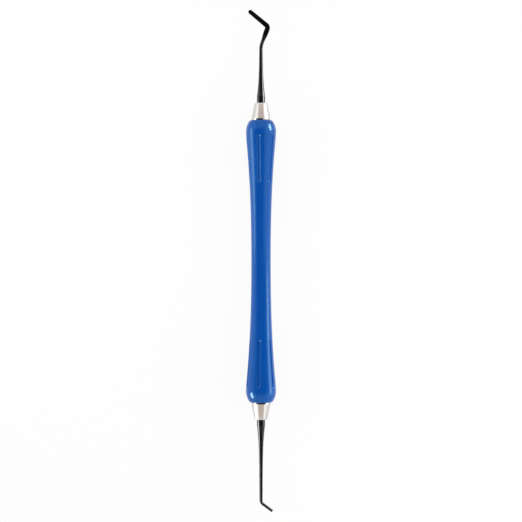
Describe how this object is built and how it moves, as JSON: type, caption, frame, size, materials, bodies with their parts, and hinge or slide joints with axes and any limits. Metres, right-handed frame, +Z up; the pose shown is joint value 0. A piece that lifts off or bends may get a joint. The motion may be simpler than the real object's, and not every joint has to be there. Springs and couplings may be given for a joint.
{
  "type": "composite instrument",
  "caption": "Dental composite instrument: slim resin handle with a bulbous grooved grip at each end, turned steel ferrules, and dark coated tips, a flat paddle opposite a round angled plugger.",
  "frame": {"origin": "on the surface that the two bulbs rest on, under the middle of the instrument's whole length", "axes": "+Y runs along the instrument towards the paddle, +Z is up, and both tips bend in the horizontal plane, the paddle towards -X and the plugger towards +X"},
  "size_m": [0.0102, 0.1698, 0.0102],
  "materials": {
    "blue_resin": "moulded medical resin in a clear mid blue, smooth with a soft gloss",
    "polished_steel": "turned and polished stainless steel with very faint turning lines",
    "black_coating": "stainless steel with a hard, smooth black non-stick coating"
  },
  "bodies": {
    "root": {"handle": "blue_resin", "paddle_ferrule": "polished_steel", "plugger_ferrule": "polished_steel", "paddle_tip": "black_coating", "plugger_tip": "black_coating"}
  },
  "joints": []
}
